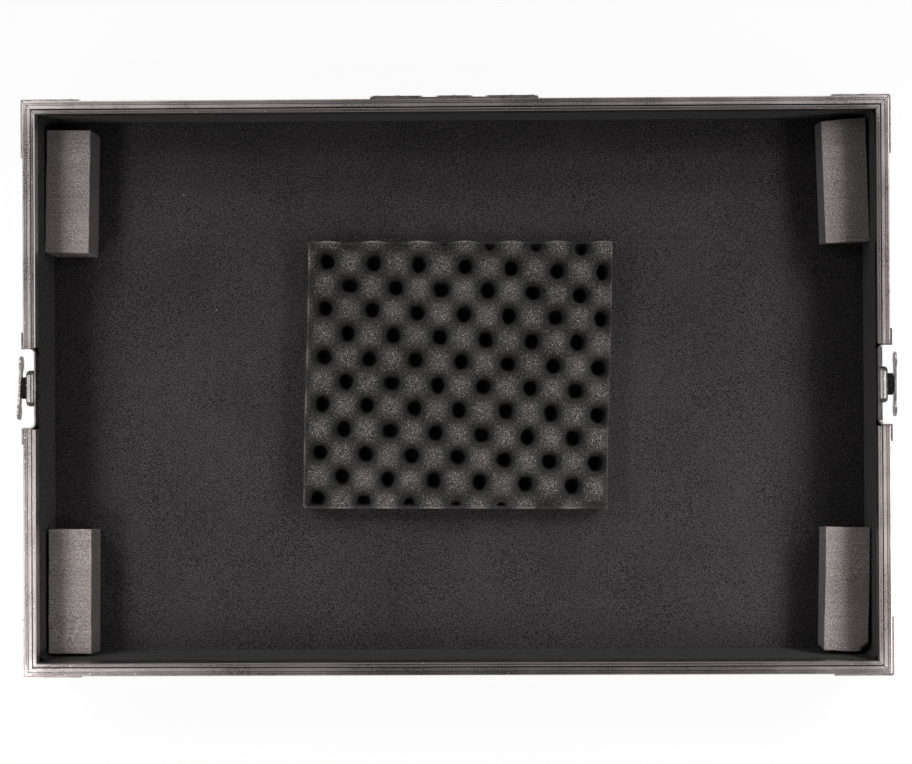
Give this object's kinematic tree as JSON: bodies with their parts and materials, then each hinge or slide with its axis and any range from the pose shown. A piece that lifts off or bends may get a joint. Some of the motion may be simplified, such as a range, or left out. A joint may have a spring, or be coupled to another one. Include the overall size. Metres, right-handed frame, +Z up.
{
  "type": "dj controller flight case tray",
  "caption": "Shallow rectangular flight case tray for a DJ controller, with aluminium tongue rim, sunken butterfly latches, lift handle, felt lining and loose foam inlay.",
  "frame": {"origin": "centre of the overall box in plan, on the ground under the rubber feet", "axes": "+X along the case's long side towards the right latch, +Y towards the side with the handle, +Z up"},
  "size_m": [0.8856, 0.59, 0.1155],
  "materials": {
    "laminated_board": "plywood with a fine-grained black laminate outside",
    "edge_aluminium": "brushed natural extrusion",
    "corner_steel": "nickel-plated pressed steel",
    "plated_steel": "bright zinc-plated sheet steel",
    "handle_steel": "satin zinc-plated sheet steel",
    "blackened_steel": "blackened turned steel",
    "satin_wing": "satin nickel-plated steel",
    "fastener_steel": "zinc-plated steel wire and turned steel",
    "rivet_aluminium": "bright domed rivet",
    "black_rubber": "moulded, matt",
    "lining_felt": "fine charcoal felt with a little lint",
    "grey_foam": "cut grey polyurethane foam",
    "charcoal_foam": "convoluted charcoal polyurethane foam"
  },
  "bodies": {
    "tray": {"ball_corner_front_left": "corner_steel", "ball_corner_front_right": "corner_steel", "ball_corner_rear_left": "corner_steel", "ball_corner_rear_right": "corner_steel", "base_panel": "laminated_board", "bottom_edge_front": "edge_aluminium", "bottom_edge_left": "edge_aluminium", "bottom_edge_rear": "edge_aluminium", "bottom_edge_right": "edge_aluminium", "corner_brace_front_left": "corner_steel", "corner_brace_front_right": "corner_steel", "corner_brace_rear_left": "corner_steel", "corner_brace_rear_right": "corner_steel", "corner_edge_front_left": "edge_aluminium", "corner_edge_front_right": "edge_aluminium", "corner_edge_rear_left": "edge_aluminium", "corner_edge_rear_right": "edge_aluminium", "egg_crate_pad": "charcoal_foam", "floor_lining": "lining_felt", "foam_block_front_left": "grey_foam", "foam_block_front_right": "grey_foam", "foam_block_rear_left": "grey_foam", "foam_block_rear_right": "grey_foam", "foot_screws": "fastener_steel", "frame_rivets": "rivet_aluminium", "handle_dish": "handle_steel", "handle_pin": "fastener_steel", "handle_rivets": "rivet_aluminium", "handle_spring": "fastener_steel", "latch_left_bridge": "plated_steel", "latch_left_dish": "plated_steel", "latch_right_bridge": "plated_steel", "latch_right_dish": "plated_steel", "latch_rivets": "rivet_aluminium", "lining_front": "lining_felt", "lining_left": "lining_felt", "lining_rear": "lining_felt", "lining_right": "lining_felt", "rim_front": "edge_aluminium", "rim_left_front": "edge_aluminium", "rim_left_rear": "edge_aluminium", "rim_rear": "edge_aluminium", "rim_right_front": "edge_aluminium", "rim_right_rear": "edge_aluminium", "rubber_feet": "black_rubber", "wall_front": "laminated_board", "wall_left": "laminated_board", "wall_rear": "laminated_board", "wall_right": "laminated_board"},
    "left_barrel": {"latch_left_barrel": "blackened_steel", "latch_left_wing_pin": "fastener_steel"},
    "left_hook": {"latch_left_hook": "plated_steel"},
    "left_wing": {"latch_left_wing": "satin_wing"},
    "right_barrel": {"latch_right_barrel": "blackened_steel", "latch_right_wing_pin": "fastener_steel"},
    "right_hook": {"latch_right_hook": "plated_steel"},
    "right_wing": {"latch_right_wing": "satin_wing"},
    "handle": {"handle_bail": "handle_steel", "handle_grip": "black_rubber"}
  },
  "joints": [
    {"name": "left_barrel_turn", "type": "hinge", "parent": "tray", "child": "left_barrel", "pos_m": [-0.4325, 0, 0.086], "axis": [-1, 0, 0], "range_deg": [0, 180]},
    {"name": "left_hook_slide", "type": "slide", "parent": "tray", "child": "left_hook", "axis": [0, 0, 1], "range_m": [0, 0.008]},
    {"name": "left_wing_fold", "type": "hinge", "parent": "left_barrel", "child": "left_wing", "pos_m": [-0.4405, -0.00146, 0.07915], "axis": [0, -0.9781, 0.2079], "range_deg": [0, 90]},
    {"name": "right_barrel_turn", "type": "hinge", "parent": "tray", "child": "right_barrel", "pos_m": [0.4325, 0, 0.086], "axis": [1, 0, 0], "range_deg": [0, 180]},
    {"name": "right_hook_slide", "type": "slide", "parent": "tray", "child": "right_hook", "axis": [0, 0, 1], "range_m": [0, 0.008]},
    {"name": "right_wing_fold", "type": "hinge", "parent": "right_barrel", "child": "right_wing", "pos_m": [0.4405, 0.00024, 0.079], "axis": [0, 0.9994, 0.0349], "range_deg": [0, 90]},
    {"name": "handle_lift", "type": "hinge", "parent": "tray", "child": "handle", "pos_m": [0, 0.282, 0.0855], "axis": [1, 0, 0], "range_deg": [0, 95], "stiffness_Nm_per_rad": 0.08, "springref_deg": -20.05}
  ],
  "couplings": [
    {"joint": "left_barrel_turn", "follows": "left_hook_slide", "rad_per_m": 392.7},
    {"joint": "right_barrel_turn", "follows": "right_hook_slide", "rad_per_m": 392.7}
  ]
}
